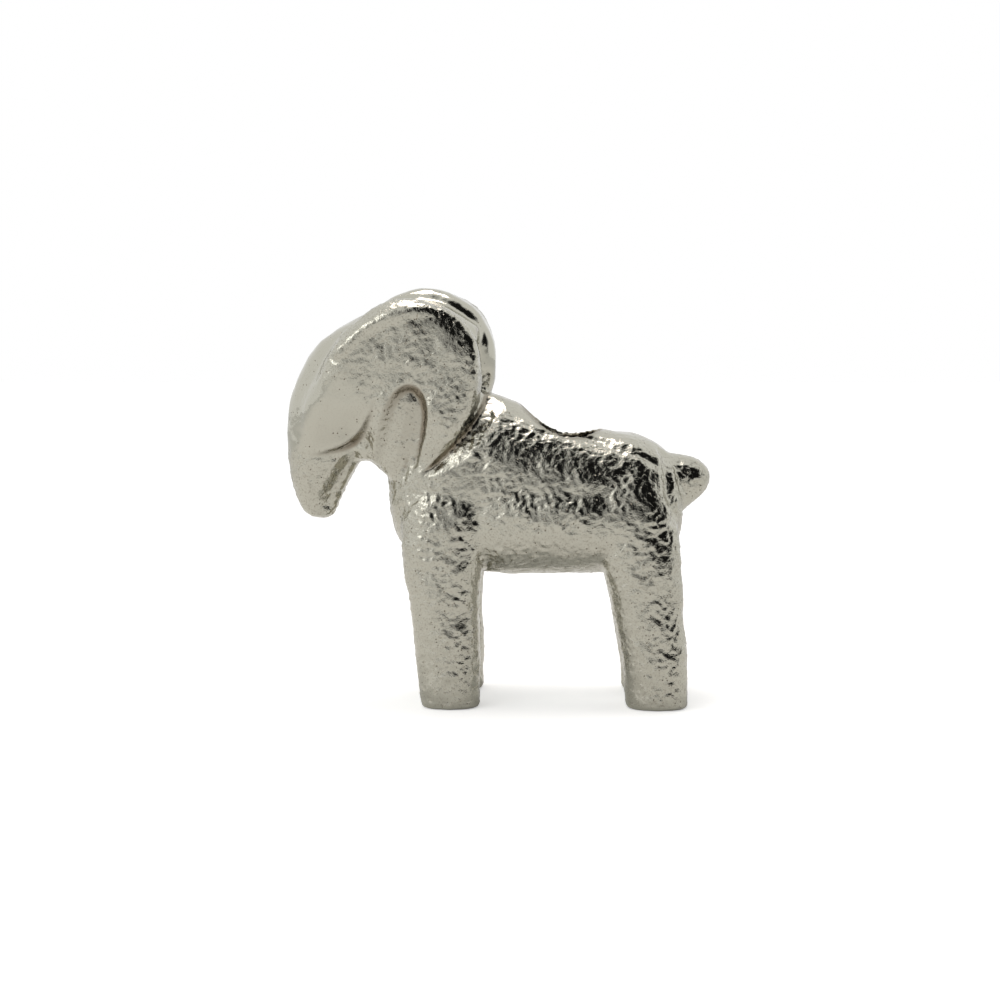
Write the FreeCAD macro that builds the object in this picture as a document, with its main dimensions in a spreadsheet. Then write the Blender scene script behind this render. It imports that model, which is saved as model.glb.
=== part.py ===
"""Goat candle holder, a sand casting: FreeCAD macro, millimetres.

The goat stands on z = 0 and faces -X, so that -Y is its left side. The origin is on the table, under the
middle of the animal.

The real object is one foundry casting. It is divided here where its forms meet: trunk, head, lower jaw,
horns, ears, tail and legs, and neighbours touch face to face. Each form is a loft through oval rings,
and each ring is a row of the spreadsheet. The trunk holds the candle socket.
"""

import FreeCAD, Part
import os

import Sketcher

V = FreeCAD.Vector
SHEET = "sizes"
LEFT, RIGHT = -1, 1
SIDES = {"left": LEFT, "right": RIGHT}

# Driving dimensions that aren't rings.
SIZES = {
    "candle_hole": 22.5,  # diameter, for a 22 mm dinner candle
    "candle_seat": 52.0,  # height of the socket's flat floor
    "candle_x": 16.5,  # the socket's axis
    "mouth_break": 0.8,  # rounding of the socket's mouth
    "leg_cut": 31.0,  # height at which the legs end and the trunk begins
    "leg_blend": 3.0,  # fillet between a leg and the belly
    "sole_break": 2.5,  # rounding of a foot's lower edge
    "leg_room": 40.0,  # side of the square around one leg, larger than any leg
    "right_horn_rise": 3.4,  # modelled by hand: the right horn sits higher than the left one
    "right_horn_back": 3.2,  # and further back
}

# The rings of each form: the middle of the ring, the lean of its plane about Y in degrees, its half size
# in the XZ plane (deep) and its half size along Y (wide). Places on Y are those of the right side.
COLUMNS = {"B": "x", "C": "y", "D": "z", "E": "lean", "F": "deep", "G": "wide"}
TORSO = {
    "breast": (-29.8, 0, 57.6, 90, 6.0, 5.5),
    "chest": (-27.0, 0, 58.4, 90, 15.0, 12.0),
    "shoulder": (-18.0, 0, 59.2, 90, 23.2, 16.3),
    "withers": (-4.0, 0, 59.4, 90, 24.5, 17.9),
    "barrel": (12.0, 0, 56.8, 90, 22.0, 19.2),
    "loin": (27.0, 0, 54.7, 90, 19.8, 19.0),
    "rump": (38.0, 0, 53.9, 90, 18.2, 17.2),
    "croup": (45.6, 0, 53.3, 90, 14.0, 13.2),
    "dock": (49.0, 0, 52.8, 90, 7.5, 7.2),
}
FRONT_LEG = {
    "fore_sole": (-12.9, 12.4, 0, 0, 7.9, 6.8),
    "fore_pastern": (-13.6, 12.2, 13, 0, 8.6, 7.0),
    "fore_knee": (-14.2, 11.6, 26, 0, 9.0, 7.2),
    "fore_elbow": (-14.9, 9.8, 38, 0, 10.2, 7.2),
    "fore_root": (-14.5, 6.6, 51, 0, 9.6, 5.6),
}
HIND_LEG = {
    "hind_sole": (42.3, 12.4, 0, 0, 8.2, 6.8),
    "hind_pastern": (41.5, 12.2, 13, 0, 8.8, 7.0),
    "hind_hock": (39.8, 11.6, 26, 0, 9.4, 7.2),
    "hind_stifle": (38.0, 9.8, 38, 0, 10.2, 7.2),
    "hind_root": (36.0, 6.6, 51, 0, 9.0, 5.6),
}
HEAD = {
    "nape": (-7.8, 0, 87.5, 280, 13.7, 10.0),
    "skull": (-23.7, 0, 84.5, 275, 24.0, 13.5),
    "forehead": (-40.9, 0, 80.9, 246, 18.2, 13.2),
    "cheek": (-47.4, 0, 69.0, 198, 10.8, 10.6),
    "nose": (-49.3, 0, 59.5, 184, 7.6, 7.5),
    "lip": (-49.4, 0, 51.3, 180, 4.6, 4.5),
}
JAW = {
    "jaw_hinge": (-39.8, 0, 65.6, 222, 2.4, 6.0),
    "jaw_middle": (-43.6, 0, 58.8, 207, 1.8, 5.4),
    "jaw_chin": (-46.0, 0, 52.6, 205, 1.5, 3.4),
}
HORN = {
    "horn_root": (-42.5, 10.0, 71.3, 2, 8.0, 3.6),
    "horn_brow": (-42.0, 10.4, 80.5, 16, 9.6, 6.6),
    "horn_front": (-35.4, 10.6, 92.4, 52, 10.0, 8.0),
    "horn_crest": (-25.0, 10.6, 98.3, 90, 10.4, 8.4),
    "horn_bend": (-15.6, 10.6, 93.6, 138, 10.4, 8.4),
    "horn_side": (-12.8, 11.4, 84.0, 178, 7.9, 7.6),
    "horn_low": (-15.6, 13.0, 75.2, 204, 6.0, 5.8),
    "horn_tip": (-20.4, 14.6, 68.0, 218, 3.0, 2.8),
}
EAR = {
    "ear_root": (-26.0, 9.4, 66.5, 6, 6.0, 3.6),
    "ear_middle": (-25.0, 10.8, 74.5, 8, 6.8, 4.0),
    "ear_upper": (-24.2, 11.2, 81.0, 8, 6.2, 3.8),
    "ear_tip": (-23.6, 11.2, 85.8, 8, 3.8, 2.8),
}
TAIL = {
    "tail_root": (45.0, 0, 57.8, 84, 10.0, 8.0),
    "tail_middle": (51.6, 0, 60.6, 80, 5.8, 5.4),
    "tail_tip": (56.8, 0, 61.9, 78, 2.6, 2.5),
}
FORMS = (TORSO, FRONT_LEG, HIND_LEG, HEAD, JAW, HORN, EAR, TAIL)


def cell(name):
    """The text that reads a named cell in an expression."""
    return f"<<{SHEET}>>.{name}"


def make_sheet(doc):
    """Writes every driving dimension as a plain number with an alias."""
    sheet = doc.addObject("Spreadsheet::Sheet", SHEET)
    row = 1
    for name, value in SIZES.items():
        sheet.set(f"A{row}", name)
        sheet.set(f"B{row}", str(value))
        sheet.setAlias(f"B{row}", name)
        row += 1
    for form in FORMS:
        for ring_name, values in form.items():
            sheet.set(f"A{row}", ring_name)
            for (letter, column), value in zip(COLUMNS.items(), values):
                sheet.set(f"{letter}{row}", str(value))
                sheet.setAlias(f"{letter}{row}", f"{ring_name}_{column}")
            row += 1
    doc.recompute()
    return sheet


def origin_plane(body, role):
    """One of a body's own origin planes."""
    return next(plane for plane in body.Origin.OriginFeatures if plane.Role == role)


def make_ring(body, name, side, shift):
    """An oval sketch bound to one row of the sheet, on the given side of the animal.

    shift names the cells that are added to the ring's x and z.
    """
    sheet = body.Document.getObject(SHEET)
    sketch = body.newObject("Sketcher::SketchObject", f"{name}_ring")
    sketch.AttachmentSupport = (origin_plane(body, "XY_Plane"), [""])
    sketch.MapMode = "FlatFace"
    sketch.AttachmentOffset = FreeCAD.Placement(V(), FreeCAD.Rotation(V(0, 1, 0), 1))
    extra = {axis: f" + {cell(shift[axis])}" if axis in shift else "" for axis in "xz"}
    sketch.setExpression("AttachmentOffset.Base.x", cell(f"{name}_x") + extra["x"])
    sketch.setExpression("AttachmentOffset.Base.y", f"{side} * {cell(name + '_y')}")
    sketch.setExpression("AttachmentOffset.Base.z", cell(f"{name}_z") + extra["z"])
    sketch.setExpression("AttachmentOffset.Rotation.Angle", cell(f"{name}_lean"))

    # An ellipse's first inner line is its long axis, which runs along the ring's longer half size.
    deep, wide = sheet.get(f"{name}_deep"), sheet.get(f"{name}_wide")
    if deep >= wide:
        ends, along, sizes = (V(deep, 0, 0), V(0, wide, 0)), "Horizontal", ("deep", "wide")
    else:
        ends, along, sizes = (V(0, wide, 0), V(-deep, 0, 0)), "Vertical", ("wide", "deep")
    oval = sketch.addGeometry(Part.Ellipse(*ends, V()))
    sketch.exposeInternalGeometry(oval)
    long_axis, short_axis = oval + 1, oval + 2
    sketch.addConstraint(Sketcher.Constraint("Coincident", oval, 3, -1, 1))
    sketch.addConstraint(Sketcher.Constraint(along, long_axis))
    for line, size in zip((long_axis, short_axis), sizes):
        length = sheet.get(f"{name}_{size}") * 2
        index = sketch.addConstraint(Sketcher.Constraint("Distance", line, length))
        sketch.renameConstraint(index, size)
        sketch.setExpression(f"Constraints.{size}", f"2 * {cell(name + '_' + size)}")
    return sketch


def add_loft(body, form, side=RIGHT, shift=None):
    """Adds one smooth loft through a form's rings to a body."""
    rings = [make_ring(body, name, side, shift or {}) for name in form]
    loft = body.newObject("PartDesign::AdditiveLoft", f"{body.Name}_loft")
    loft.Profile = rings[0]
    loft.Sections = rings[1:]
    body.Document.recompute()
    return loft


def mirror(body, feature):
    """Repeats a feature on the other side of the animal."""
    copy = body.newObject("PartDesign::Mirrored", f"{feature.Name}_other_side")
    copy.Originals = [feature]
    copy.MirrorPlane = (origin_plane(body, "XZ_Plane"), [""])
    body.Tip = copy
    body.Document.recompute()
    return copy


def round_edges(body, feature, is_wanted, radius):
    """Fillets the edges of a feature that a test picks. radius is an expression or a number."""
    names = [f"Edge{n}" for n, edge in enumerate(feature.Shape.Edges, 1) if is_wanted(edge)]
    fillet = body.newObject("PartDesign::Fillet", f"{feature.Name}_round")
    fillet.Base = (feature, names)
    fillet.setExpression("Radius", radius)
    body.Document.recompute()
    return fillet


def make_form(doc, name, form, side=RIGHT, shift=None):
    """A body of one loft."""
    body = doc.addObject("PartDesign::Body", f"{name}_form")
    add_loft(body, form, side, shift)
    return body


def add_legs(body):
    """Adds the four legs to the torso, blended into the belly, with rounded soles."""
    for form in (FRONT_LEG, HIND_LEG):
        leg = add_loft(body, form)
        mirror(body, leg)

    def is_joint(edge):
        box = edge.BoundBox
        return edge.Closed and box.ZMin > SIZES["leg_cut"] and box.ZMax < TORSO["breast"][2]

    def is_sole(edge):
        return edge.Closed and edge.BoundBox.ZMax < 0.1

    round_edges(body, body.Tip, is_joint, cell("leg_blend"))
    round_edges(body, body.Tip, is_sole, cell("sole_break"))


def bore_socket(body):
    """Bores the flat-bottomed candle socket upwards through the back and rounds its mouth."""
    sketch = body.newObject("Sketcher::SketchObject", "socket_circle")
    sketch.AttachmentSupport = (origin_plane(body, "XY_Plane"), [""])
    sketch.MapMode = "FlatFace"
    sketch.setExpression("AttachmentOffset.Base.x", cell("candle_x"))
    sketch.setExpression("AttachmentOffset.Base.z", cell("candle_seat"))
    circle = sketch.addGeometry(Part.Circle(V(), V(0, 0, 1), SIZES["candle_hole"] / 2))
    sketch.addConstraint(Sketcher.Constraint("Coincident", circle, 3, -1, 1))
    sketch.addConstraint(Sketcher.Constraint("Diameter", circle, SIZES["candle_hole"]))
    sketch.renameConstraint(1, "bore")
    sketch.setExpression("Constraints.bore", cell("candle_hole"))

    solid_before = body.Shape.Volume
    pocket = body.newObject("PartDesign::Pocket", "socket_pocket")
    pocket.Profile = sketch
    pocket.Type = "ThroughAll"
    pocket.Reversed = True
    body.Document.recompute()
    if pocket.Shape.Volume > solid_before - 5000:
        raise RuntimeError("the candle socket didn't cut the back")

    def is_mouth(edge):
        box = edge.BoundBox
        return box.ZMin > SIZES["candle_seat"] + 5 and box.XLength < SIZES["candle_hole"] + 1

    round_edges(body, pocket, is_mouth, cell("mouth_break"))


def leg_room(doc, name, side, middle_cell):
    """A box that holds everything of one leg below the cut."""
    box = doc.addObject("Part::Box", f"{name}_room")
    for size in ("Length", "Width"):
        box.setExpression(size, cell("leg_room"))
    box.setExpression("Height", f"{cell('leg_cut')} + 1")
    box.setExpression("Placement.Base.x", f"{cell(middle_cell)} - {cell('leg_room')} / 2")
    box.setExpression("Placement.Base.y", "0" if side == RIGHT else f"-{cell('leg_room')}")
    box.setExpression("Placement.Base.z", "-1")
    return box


def combine(doc, kind, name, first, second):
    """A boolean of two objects: kind is Cut or Common. Its label is the node's name."""
    result = doc.addObject(f"Part::{kind}", name)
    result.Base = first
    result.Tool = second
    result.Label = name
    doc.recompute()
    return result


def join(doc, name, shapes):
    """One object that holds several, to be cut away from a neighbour."""
    result = doc.addObject("Part::MultiFuse", name)
    result.Shapes = shapes
    doc.recompute()
    return result


def make_trunk_and_legs(doc):
    """The trunk with its socket, and the four legs below the cut."""
    core = doc.addObject("PartDesign::Body", "core")
    add_loft(core, TORSO)
    add_legs(core)
    bore_socket(core)
    nodes = []
    rooms = []
    for place, middle_cell in (("front", "fore_knee_x"), ("hind", "hind_hock_x")):
        for side_name, side in SIDES.items():
            name = f"leg_{place}_{side_name}"
            room = leg_room(doc, name, side, middle_cell)
            rooms.append(room)
            nodes.append(combine(doc, "Common", name, core, room))
    trunk = combine(doc, "Cut", "trunk", core, join(doc, "leg_rooms", rooms))
    return trunk, nodes


def make_head_parts(doc, trunk):
    """Horns, ears, lower jaw and head. Each one is trimmed by the parts it grows out of."""
    raised = {"x": "right_horn_back", "z": "right_horn_rise"}
    horns = []
    ears = []
    for side_name, side in SIDES.items():
        shift = raised if side == RIGHT else None
        horn = make_form(doc, f"horn_{side_name}", HORN, side, shift)
        horn = combine(doc, "Cut", f"horn_{side_name}", horn, trunk)
        horns.append(horn)
        around = join(doc, f"ear_{side_name}_neighbours", [horn, trunk])
        ear = make_form(doc, f"ear_{side_name}", EAR, side)
        ears.append(combine(doc, "Cut", f"ear_{side_name}", ear, around))
    jaw = combine(doc, "Cut", "lower_jaw", make_form(doc, "lower_jaw", JAW), trunk)
    around = join(doc, "head_neighbours", [trunk, jaw, *horns, *ears])
    head = combine(doc, "Cut", "head", make_form(doc, "head", HEAD), around)
    return [head, jaw, *horns, *ears]


def check(doc, nodes):
    """Stops the build when any object or node shape is broken."""
    for item in doc.Objects:
        if {"Invalid", "Error"} & set(item.State):
            raise RuntimeError(f"{item.Name}: {item.State}")
    for node in nodes:
        shape = node.Shape
        if shape.isNull() or not shape.isValid() or len(shape.Solids) != 1:
            raise RuntimeError(f"{node.Label}: {len(shape.Solids)} solids, valid {shape.isValid()}")


def build():
    """Builds the goat and writes one STEP file for each node."""
    doc = FreeCAD.newDocument("goat_candle_holder")
    make_sheet(doc)
    trunk, legs = make_trunk_and_legs(doc)
    tail = combine(doc, "Cut", "tail", make_form(doc, "tail", TAIL), trunk)
    nodes = [trunk, tail, *legs, *make_head_parts(doc, trunk)]
    check(doc, nodes)
    os.makedirs("parts", exist_ok=True)
    for node in nodes:
        node.Shape.exportStep(f"parts/{node.Label}.step")
        print(f"{node.Label}: {node.Shape.Volume:.0f} mm3")


build()
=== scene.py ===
"""Visual model of a goat candle holder, sand-cast and nickel-plated.

It is modelled the way a pattern maker builds one: the forms of the animal are drawn ring by ring, fused
into one skin, bored for the candle, carved along the creases and given the grain of the sand mould. The
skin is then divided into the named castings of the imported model. Sizes are in millimetres and degrees,
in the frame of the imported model: +Z up, the goat faces -X, and -Y is its left side.
"""

import logging
import math
from dataclasses import dataclass
from enum import Enum
from typing import Callable

import bpy
import numpy as np
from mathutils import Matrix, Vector, kdtree, noise


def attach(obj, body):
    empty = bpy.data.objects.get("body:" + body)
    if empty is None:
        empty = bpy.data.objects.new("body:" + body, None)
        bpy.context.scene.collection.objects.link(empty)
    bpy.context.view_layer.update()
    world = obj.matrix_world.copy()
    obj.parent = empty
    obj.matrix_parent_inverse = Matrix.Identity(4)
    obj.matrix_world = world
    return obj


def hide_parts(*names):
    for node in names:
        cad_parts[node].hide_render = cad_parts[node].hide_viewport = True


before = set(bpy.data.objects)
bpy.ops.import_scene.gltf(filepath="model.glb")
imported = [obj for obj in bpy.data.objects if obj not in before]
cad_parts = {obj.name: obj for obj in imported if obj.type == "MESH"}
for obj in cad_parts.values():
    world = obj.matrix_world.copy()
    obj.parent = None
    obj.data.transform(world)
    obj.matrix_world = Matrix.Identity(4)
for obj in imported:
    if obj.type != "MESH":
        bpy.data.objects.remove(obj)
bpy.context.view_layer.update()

log = logging.getLogger("goat")
MM = 0.001
Point = tuple[float, float]
Point3 = tuple[float, float, float]
Weigh = Callable[[np.ndarray, np.ndarray], np.ndarray]

# The right horn and ear sit further back and higher than a mirror image of the left ones.
RIGHT_HORN_MOVE: Point = (3.2, 3.4)


class Side(Enum):
    """The two sides of the animal, with the sign of Y there."""

    LEFT = -1
    RIGHT = 1


class Cut(Enum):
    """What a cutter does to a solid."""

    KEEP_INSIDE = "INTERSECT"
    TAKE_AWAY = "DIFFERENCE"


# ---------------------------------------------------------------------------------------------------
# Working by operators


def select_only(*chosen: bpy.types.Object) -> None:
    """Selects just these objects and makes the first one active.

    Args:
        chosen: the objects.
    """
    bpy.ops.object.select_all(action="DESELECT")
    for piece in chosen:
        piece.select_set(True)
    bpy.context.view_layer.objects.active = chosen[0] if chosen else None


def apply_modifier(piece: bpy.types.Object, kind: str, **settings: object) -> None:
    """Adds one modifier to a piece and applies it.

    Args:
        piece: the mesh object.
        kind: the modifier's type.
        settings: its properties.
    """
    select_only(piece)
    modifier = piece.modifiers.new(kind.title(), kind)
    for name, value in settings.items():
        setattr(modifier, name, value)
    bpy.ops.object.modifier_apply(modifier=modifier.name)


def apply_through_group(piece: bpy.types.Object, group: str, kind: str, **settings: object) -> None:
    """Adds one modifier that works through a vertex group, applies it and takes the group away.

    Args:
        piece: the mesh object.
        group: the vertex group's name.
        kind: the modifier's type.
        settings: its other properties.
    """
    apply_modifier(piece, kind, vertex_group=group, **settings)
    piece.vertex_groups.remove(piece.vertex_groups[group])


def duplicate(piece: bpy.types.Object, name: str) -> bpy.types.Object:
    """Copies a piece with a mesh of its own.

    Args:
        piece: the mesh object.
        name: the copy's name.

    Returns:
        The copy.
    """
    select_only(piece)
    bpy.ops.object.duplicate(linked=False)
    copy = bpy.context.view_layer.objects.active
    copy.name = name
    return copy


def remove(*pieces: bpy.types.Object) -> None:
    """Deletes objects that were only tools.

    Args:
        pieces: the objects.
    """
    select_only(*pieces)
    bpy.ops.object.delete()


def fuse(pieces: list[bpy.types.Object], name: str, voxel: float) -> bpy.types.Object:
    """Joins closed forms and fuses them into one even skin.

    Args:
        pieces: overlapping closed forms.
        name: the skin's name.
        voxel: the size of the skin's faces.

    Returns:
        The skin.
    """
    select_only(*pieces)
    if len(pieces) > 1:
        bpy.ops.object.join()
    skin = bpy.context.view_layer.objects.active
    skin.name = name
    apply_modifier(skin, "REMESH", mode="VOXEL", voxel_size=voxel * MM)
    return skin


def cut(piece: bpy.types.Object, cutter: bpy.types.Object, how: Cut) -> None:
    """Cuts a closed piece with a closed cutter.

    Args:
        piece: the closed piece.
        cutter: the closed cutter, which is kept.
        how: which part of the piece stays.
    """
    apply_modifier(piece, "BOOLEAN", operation=how.value, object=cutter, solver="MANIFOLD")


def turn(degrees: float, middle: Vector) -> None:
    """Turns the selection about Y, right-handed: with no window the operator turns the other way.

    Args:
        degrees: the angle.
        middle: the point on the axis, in metres.
    """
    bpy.ops.transform.rotate(value=-math.radians(degrees), orient_axis="Y", center_override=middle)


def settle(piece: bpy.types.Object) -> None:
    """Moves a piece's place into its mesh.

    Args:
        piece: the mesh object.
    """
    select_only(piece)
    bpy.ops.object.transform_apply(location=True, rotation=True, scale=True)


def paint_group(piece: bpy.types.Object, name: str, weigh: Weigh) -> None:
    """Gives a vertex group weights worked out from place and normal.

    Args:
        piece: the mesh object.
        name: the group's name.
        weigh: takes the vertices' places in mm and their normals, and returns weights.
    """
    places, normals = surface_of(piece)
    steps = np.rint(np.clip(weigh(places, normals), 0, 1) * 24).astype(int)
    group = piece.vertex_groups.new(name=name)
    for step in np.unique(steps):
        group.add(np.flatnonzero(steps == step).tolist(), step / 24, "REPLACE")


def surface_of(piece: bpy.types.Object) -> tuple[np.ndarray, np.ndarray]:
    """Reads a mesh's vertices.

    Args:
        piece: the mesh object.

    Returns:
        Their places in mm and their normals, one row each.
    """
    count = len(piece.data.vertices)
    places, normals = np.empty(count * 3), np.empty(count * 3)
    piece.data.vertices.foreach_get("co", places)
    piece.data.vertices.foreach_get("normal", normals)
    return places.reshape(-1, 3) / MM, normals.reshape(-1, 3)


def ease(value: np.ndarray, start: float, end: float) -> np.ndarray:
    """Rises smoothly from 0 to 1.

    Args:
        value: where to look.
        start: the value where the rise starts.
        end: the value where it ends.

    Returns:
        The height at each value.
    """
    t = np.clip((value - start) / (end - start), 0, 1)
    return t * t * (3 - 2 * t)


def run_through(rows: list[np.ndarray], count: Callable[[np.ndarray, np.ndarray], int]) -> list[np.ndarray]:
    """Runs a smooth Catmull-Rom curve through rows of numbers.

    Args:
        rows: the rows that the curve passes, each a point or a ring.
        count: takes two rows that follow each other and returns the number of steps between them.

    Returns:
        The curve's rows, from the first given one to the last.
    """
    rows = [2 * rows[0] - rows[1], *rows, 2 * rows[-1] - rows[-2]]
    curve = []
    for a, b, c, d in zip(rows, rows[1:], rows[2:], rows[3:]):
        steps = count(b, c)
        for t in np.arange(steps) / steps:
            row = 2 * b + (c - a) * t
            row = row + (2 * a - 5 * b + 4 * c - d) * t**2
            row = row + (3 * b - a - 3 * c + d) * t**3
            curve.append(row / 2)
    return [*curve, rows[-2]]


def smooth_path(path: tuple[Point, ...], step: float = 0.6) -> np.ndarray:
    """Smooths a path in the XZ plane.

    Args:
        path: the points that it passes.
        step: the least length of its steps in millimetres.

    Returns:
        The path's points, one row each.
    """
    rows = [np.array(point, dtype=float) for point in path]
    return np.array(run_through(rows, lambda here, there: max(2, int(np.linalg.norm(there - here) / step))))


# ---------------------------------------------------------------------------------------------------
# Forms


@dataclass(frozen=True)
class Ring:
    """One oval section of a form.

    lean is the angle of its plane about Y, deep its half size in the XZ plane and wide along Y.
    """

    x: float
    y: float
    z: float
    lean: float
    deep: float
    wide: float

    def values(self) -> np.ndarray:
        """Lists the ring's numbers.

        Returns:
            All six, as one row.
        """
        return np.array((self.x, self.y, self.z, self.lean, self.deep, self.wide))


@dataclass(frozen=True)
class Form:
    """A closed form drawn through rings, by extruding a disc from each ring to the next.

    corner is the radius of the section's corners, as a share of its half size: 1 draws ovals and less
    draws flatter sides.
    """

    name: str
    rings: tuple[Ring, ...]
    corner: float = 0.82
    corner_steps: int = 9
    steps: int = 5

    def stations(self) -> list[Ring]:
        """Puts smooth steps between the rings.

        Returns:
            The rings with the new ones between them.
        """
        rows = [ring.values() for ring in self.rings]
        return [Ring(*row) for row in run_through(rows, lambda here, there: self.steps)]

    def draw(self, side: Side = Side.RIGHT, shift: Point = (0, 0)) -> bpy.types.Object:
        """Draws the form.

        Args:
            side: the side of the animal; the rings hold places of the right side.
            shift: a move along X and Z.

        Returns:
            The closed mesh.
        """
        stations = self.stations()
        middles = [Vector((r.x + shift[0], r.y * side.value, r.z + shift[1])) * MM for r in stations]
        bpy.ops.object.select_all(action="DESELECT")
        bpy.ops.mesh.primitive_plane_add(size=2 * MM, location=middles[0])
        piece = bpy.context.view_layer.objects.active
        piece.name = f"{self.name}_{side.name.lower()}"
        bpy.ops.object.mode_set(mode="EDIT")
        bpy.ops.mesh.bevel(
            affect="VERTICES", offset=min(self.corner, 0.98) * MM, segments=self.corner_steps, profile=0.5
        )
        before = Ring(0, 0, 0, 0, 1, 1)
        for here, middle, last in zip(stations, middles, [middles[0], *middles]):
            if middle != last:
                bpy.ops.mesh.extrude_region_move(TRANSFORM_OT_translate={"value": middle - last})
                turn(-before.lean, middle)
            growth = (here.deep / before.deep, here.wide / before.wide, 1)
            bpy.ops.transform.resize(value=growth, center_override=middle)
            turn(here.lean, middle)
            before = here
        bpy.ops.mesh.select_all(action="SELECT")
        bpy.ops.mesh.normals_make_consistent(inside=False)
        bpy.ops.object.mode_set(mode="OBJECT")
        settle(piece)
        return piece


TORSO = Form(
    "torso",
    (
        Ring(-29.8, 0, 57.6, 90, 6.0, 5.5),
        Ring(-27.0, 0, 58.4, 90, 15.0, 12.0),
        Ring(-18.0, 0, 59.2, 90, 23.2, 16.3),
        Ring(-4.0, 0, 59.4, 90, 24.5, 17.2),
        Ring(12.0, 0, 56.6, 90, 21.6, 17.4),
        Ring(27.0, 0, 54.5, 90, 19.5, 17.2),
        Ring(38.0, 0, 53.9, 90, 18.2, 15.8),
        Ring(45.6, 0, 53.3, 90, 14.0, 12.8),
        Ring(49.0, 0, 52.8, 90, 7.5, 7.2),
    ),
    corner=0.9,
    corner_steps=14,
)
BELLY = Form(
    "belly",
    (
        Ring(-15.0, 0, 52.0, 90, 11.0, 11.0),
        Ring(-4.0, 0, 50.4, 90, 15.3, 17.3),
        Ring(12.0, 0, 49.6, 90, 14.8, 19.0),
        Ring(27.0, 0, 49.4, 90, 14.5, 18.9),
        Ring(38.0, 0, 50.0, 90, 13.8, 17.2),
        Ring(45.0, 0, 51.0, 90, 10.0, 12.0),
    ),
    corner=0.9,
)
FRONT_LEG = Form(
    "front_leg",
    (
        Ring(-12.9, 12.4, 0, 0, 7.9, 6.8),
        Ring(-13.6, 12.2, 13, 0, 8.6, 7.0),
        Ring(-14.2, 11.9, 26, 0, 9.0, 7.1),
        Ring(-14.9, 11.4, 38, 0, 10.6, 7.5),
        Ring(-14.0, 10.2, 50, 0, 12.0, 8.2),
        Ring(-12.0, 8.0, 60, 0, 10.5, 7.6),
        Ring(-10.5, 4.5, 67, 0, 5.0, 5.0),
    ),
)
HIND_LEG = Form(
    "hind_leg",
    (
        Ring(42.3, 12.4, 0, 0, 8.2, 6.8),
        Ring(41.5, 12.2, 13, 0, 8.8, 7.0),
        Ring(39.8, 11.9, 26, 0, 9.4, 7.1),
        Ring(38.0, 11.4, 38, 0, 10.6, 7.5),
        Ring(35.8, 10.4, 50, 0, 11.6, 8.0),
        Ring(33.0, 8.6, 60, 0, 10.5, 8.0),
        Ring(31.0, 6.5, 67, 0, 6.0, 6.0),
    ),
)
SKULL = Form(
    "skull",
    (
        Ring(-7.8, 0, 87.5, 280, 13.7, 10.0),
        Ring(-23.7, 0, 84.5, 275, 24.0, 13.5),
        Ring(-40.9, 0, 80.9, 246, 18.2, 13.2),
        Ring(-47.4, 0, 69.0, 198, 10.8, 10.6),
        Ring(-49.3, 0, 59.5, 184, 7.6, 7.5),
        Ring(-49.3, 0, 52.8, 180, 5.2, 5.0),
        Ring(-48.9, 0, 50.4, 180, 3.5, 3.7),
        Ring(-48.7, 0, 49.5, 180, 1.6, 1.8),
    ),
)
FOREHEAD = Form(
    "forehead",
    (
        Ring(-47.6, 0, 64.0, 4, 4.6, 6.6),
        Ring(-47.2, 0, 69.5, 6, 7.0, 10.8),
        Ring(-45.9, 0, 75.0, 10, 8.0, 14.4),
        Ring(-43.4, 0, 81.5, 24, 8.3, 16.6),
        Ring(-38.2, 0, 88.4, 46, 8.6, 17.8),
        Ring(-31.2, 0, 94.0, 66, 9.2, 16.8),
    ),
    corner=0.6,
)
CHEEK = Form(
    "cheek",
    (
        Ring(-45.5, 0, 66.2, 90, 3.0, 8.4),
        Ring(-41.0, 0, 67.8, 90, 3.6, 10.0),
        Ring(-36.0, 0, 69.4, 90, 4.0, 12.2),
        Ring(-30.0, 0, 69.4, 90, 4.8, 13.4),
        Ring(-25.0, 0, 68.0, 90, 4.0, 10.6),
    ),
)
JAW = Form(
    "jaw",
    (
        Ring(-39.8, 0, 65.9, 222, 1.8, 6.0),
        Ring(-43.6, 0, 58.8, 207, 1.8, 5.4),
        Ring(-46.0, 0, 52.6, 205, 1.5, 3.4),
    ),
)
HORN = Form(
    "horn",
    (
        Ring(-41.6, 8.4, 70.5, 2, 5.6, 2.8),
        Ring(-41.0, 10.4, 80.5, 16, 8.0, 6.6),
        Ring(-35.4, 10.6, 92.0, 52, 9.4, 8.0),
        Ring(-25.0, 10.6, 98.3, 90, 10.4, 8.4),
        Ring(-15.6, 10.6, 93.6, 138, 10.4, 8.4),
        Ring(-12.8, 11.4, 84.0, 178, 7.9, 7.6),
        Ring(-15.6, 13.0, 75.2, 204, 6.0, 5.8),
        Ring(-20.4, 13.8, 68.0, 218, 3.0, 2.6),
    ),
    corner=0.5,
)
EAR = Form(
    "ear",
    (
        Ring(-24.6, 8.4, 60.5, 6, 5.0, 3.0),
        Ring(-26.4, 8.6, 67.0, 6, 8.4, 5.6),
        Ring(-27.0, 9.6, 73.0, 6, 10.6, 7.0),
        Ring(-26.4, 10.2, 78.0, 6, 10.6, 8.0),
        Ring(-25.2, 10.4, 84.0, 6, 10.4, 8.3),
        Ring(-24.6, 10.4, 91.0, 6, 8.0, 8.0),
    ),
    corner=0.8,
)
TAIL = Form(
    "tail",
    (
        Ring(45.0, 0, 57.8, 84, 10.0, 8.0),
        Ring(51.0, 0, 60.1, 80, 6.6, 5.8),
        Ring(54.9, 0, 61.2, 78, 4.4, 4.0),
        Ring(57.0, 0, 61.7, 78, 1.6, 1.5),
    ),
    corner=0.98,
)


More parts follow.
